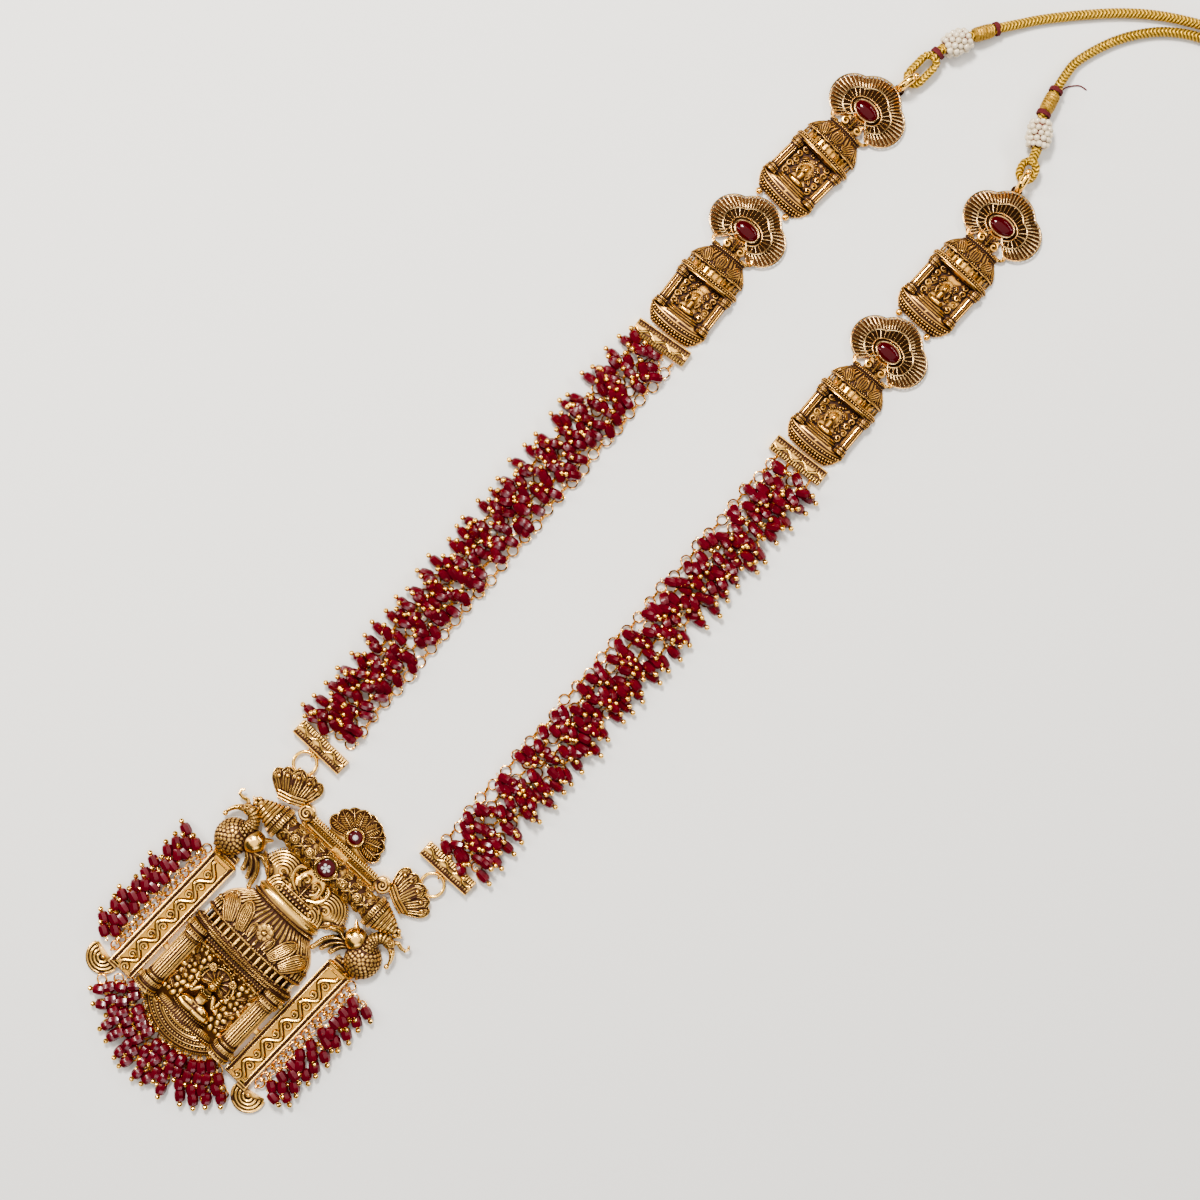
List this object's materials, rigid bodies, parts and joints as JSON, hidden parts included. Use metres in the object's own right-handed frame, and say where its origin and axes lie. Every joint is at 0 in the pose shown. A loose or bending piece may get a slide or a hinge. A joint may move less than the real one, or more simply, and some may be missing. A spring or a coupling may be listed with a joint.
{
  "type": "temple necklace",
  "caption": "Long gold temple necklace with a shrine pendant, mesh strands of ruby beads, lantern and flower links, and a braided neck cord.",
  "frame": {"origin": "flat back of the pendant, in the middle of its niche", "axes": "+Y up the necklace from the pendant to the neck cord, +Z away from the table it lies on, +X to the right as seen from above"},
  "size_m": [0.1373, 0.5192, 0.0096],
  "materials": {
    "antique_gold": "satin, darkened in the recesses",
    "dark_gold": "satin, oxidised",
    "gold_braid": "metallic thread",
    "dark_red_thread": "matt",
    "ruby_beads": "polished",
    "red_stone": "polished",
    "crystal_stone": "faceted",
    "seed_pearl": "pearl"
  },
  "bodies": {
    "root": {"pendant": "antique_gold", "crown_stone": "crystal_stone", "beam_stone": "crystal_stone", "neck_cord": "gold_braid", "bail_ring_left": "antique_gold", "lower_bar_left": "antique_gold", "upper_bar_left": "antique_gold", "strand_left": "ruby_beads", "side_fringe_left": "ruby_beads", "lantern_lower_left": "antique_gold", "lantern_upper_left": "antique_gold", "flower_lower_left": "dark_gold", "flower_upper_left": "dark_gold", "flower_stone_lower_left": "red_stone", "flower_stone_upper_left": "red_stone", "hook_left": "antique_gold", "cord_loop_left": "gold_braid", "pearl_wrap_left": "seed_pearl", "whip_left": "gold_braid", "tie_loop_left": "dark_red_thread", "tie_end_left": "dark_red_thread", "bail_ring_right": "antique_gold", "lower_bar_right": "antique_gold", "upper_bar_right": "antique_gold", "strand_right": "ruby_beads", "side_fringe_right": "ruby_beads", "lantern_lower_right": "antique_gold", "lantern_upper_right": "antique_gold", "flower_lower_right": "dark_gold", "flower_upper_right": "dark_gold", "flower_stone_lower_right": "red_stone", "flower_stone_upper_right": "red_stone", "hook_right": "antique_gold", "cord_loop_right": "gold_braid", "pearl_wrap_right": "seed_pearl", "whip_right": "gold_braid", "tie_loop_right": "dark_red_thread", "tie_end_right": "dark_red_thread", "bottom_fringe": "ruby_beads"}
  },
  "joints": []
}
